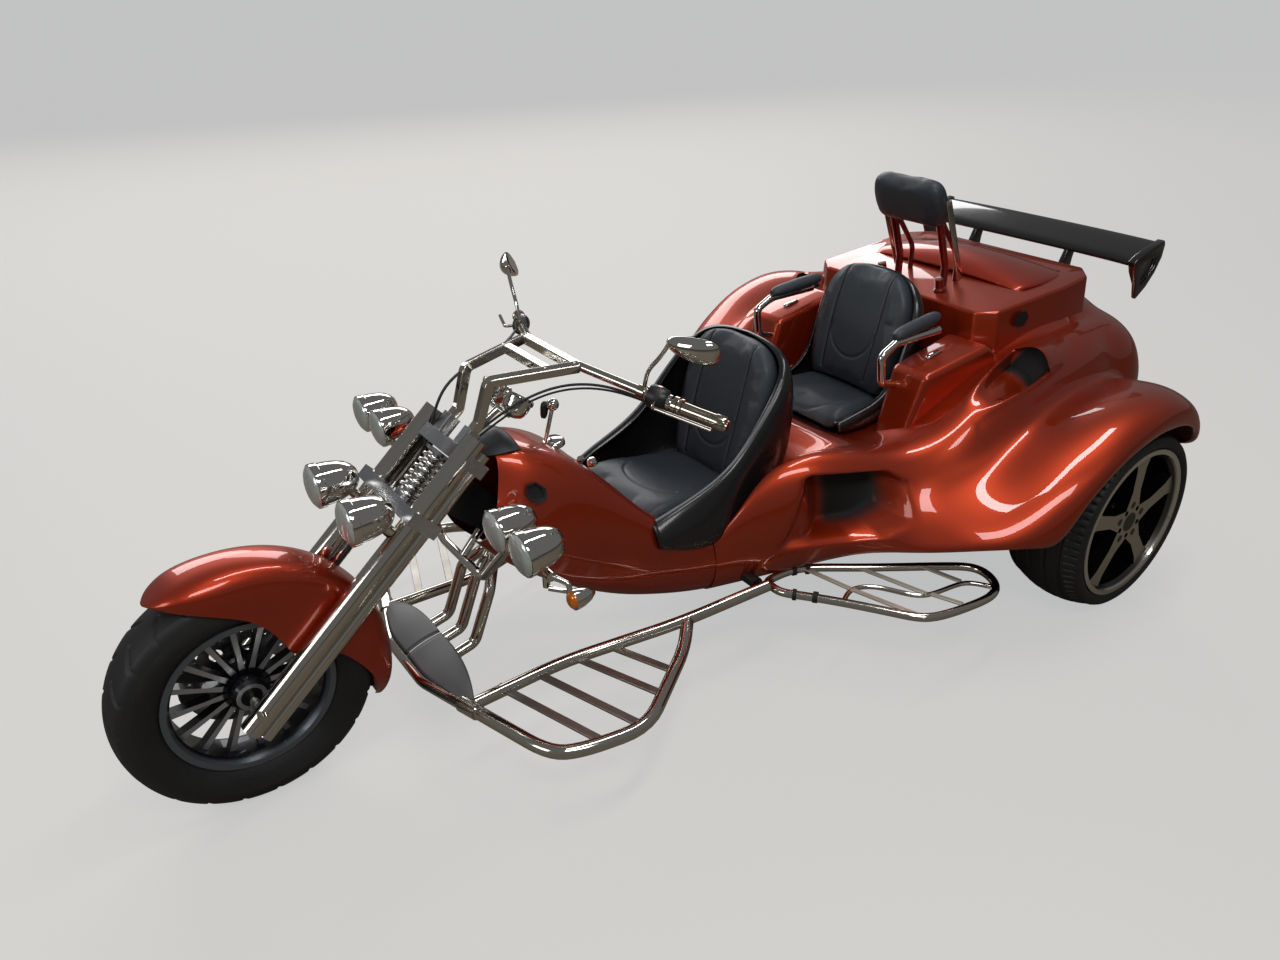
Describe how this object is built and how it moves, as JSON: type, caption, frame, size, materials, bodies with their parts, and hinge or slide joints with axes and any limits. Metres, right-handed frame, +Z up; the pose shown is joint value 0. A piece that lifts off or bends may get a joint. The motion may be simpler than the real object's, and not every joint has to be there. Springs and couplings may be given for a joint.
{
  "type": "motorized trike",
  "caption": "Three-wheeled motor roadster with a long raked fork, two bucket seats in line, wide rear guards and a rear wing.",
  "frame": {"origin": "on the floor, under the middle of the vehicle's box", "axes": "+X forward, +Y to the rider's left, +Z up"},
  "size_m": [3.5059, 1.85, 1.2949],
  "materials": {
    "body_paint": "high gloss metallic orange red with clear coat",
    "frame_paint": "satin black",
    "polished_tube": "polished stainless steel",
    "chrome": "bright chrome",
    "grey_plate": "dull grey",
    "wing_black": "gloss black",
    "radiator_black": "matt black",
    "seat_leather": "grained, softly shiny",
    "post_red": "gloss",
    "engine_grey": "rough casting",
    "red_lens": "clear red",
    "plate_white": "blank plate",
    "yoke_alloy": "satin",
    "grip_rubber": "matt",
    "caliper_grey": "painted",
    "tyre": "matt",
    "rim_alloy": "painted spokes with a bright lip",
    "disc_steel": "ground"
  },
  "bodies": {
    "chassis": {"main_frame": "frame_paint", "front_bow_bar": "polished_tube", "splash_guard": "grey_plate", "left_footboard": "polished_tube", "right_footboard": "polished_tube", "left_passenger_board": "polished_tube", "right_passenger_board": "polished_tube", "lamp_bar": "chrome", "driving_lamps": "chrome", "indicators": "chrome", "tank_shell": "body_paint", "body_shell": "body_paint", "rear_wing": "wing_black", "side_radiators": "radiator_black", "gear_lever": "chrome", "driver_seat": "seat_leather", "passenger_seat": "seat_leather", "armrest_tubes": "chrome", "armrests": "seat_leather", "headrest_posts": "post_red", "headrest": "seat_leather", "engine_block": "engine_grey", "trailing_arms": "frame_paint", "shock_absorbers": "chrome", "exhausts": "polished_tube", "tail_lamps": "red_lens", "number_plate": "plate_white"},
    "fork": {"fork_legs": "polished_tube", "fork_yokes": "yoke_alloy", "fork_spring": "chrome", "headlamps": "chrome", "handlebar": "chrome", "grips": "grip_rubber", "mirrors": "chrome", "gauges": "chrome", "front_fender": "body_paint", "brake_caliper": "caliper_grey"},
    "front_wheel": {"front_tyre": "tyre", "front_rim": "rim_alloy", "brake_disc": "disc_steel"},
    "left_rear_wheel": {"left_rear_tyre": "tyre", "left_rear_rim": "rim_alloy"},
    "right_rear_wheel": {"right_rear_tyre": "tyre", "right_rear_rim": "rim_alloy"},
    "boot_lid": {"boot_lid": "body_paint"}
  },
  "joints": [
    {"name": "steering", "type": "hinge", "parent": "chassis", "child": "fork", "pos_m": [1.35746, 0, 0.246], "axis": [-0.7547, 0, 0.6561], "range_deg": [-30, 30]},
    {"name": "front_wheel_spin", "type": "hinge", "parent": "fork", "child": "front_wheel", "pos_m": [1.427, 0, 0.326], "axis": [0, 1, 0], "continuous": true},
    {"name": "left_rear_wheel_spin", "type": "hinge", "parent": "chassis", "child": "left_rear_wheel", "pos_m": [-1.103, 0.77, 0.32], "axis": [0, 1, 0], "continuous": true},
    {"name": "right_rear_wheel_spin", "type": "hinge", "parent": "chassis", "child": "right_rear_wheel", "pos_m": [-1.103, -0.77, 0.32], "axis": [0, 1, 0], "continuous": true},
    {"name": "boot_lid_hinge", "type": "hinge", "parent": "chassis", "child": "boot_lid", "pos_m": [-1.133, 0, 0.9506], "axis": [0, 1, 0], "range_deg": [0, 60]}
  ]
}
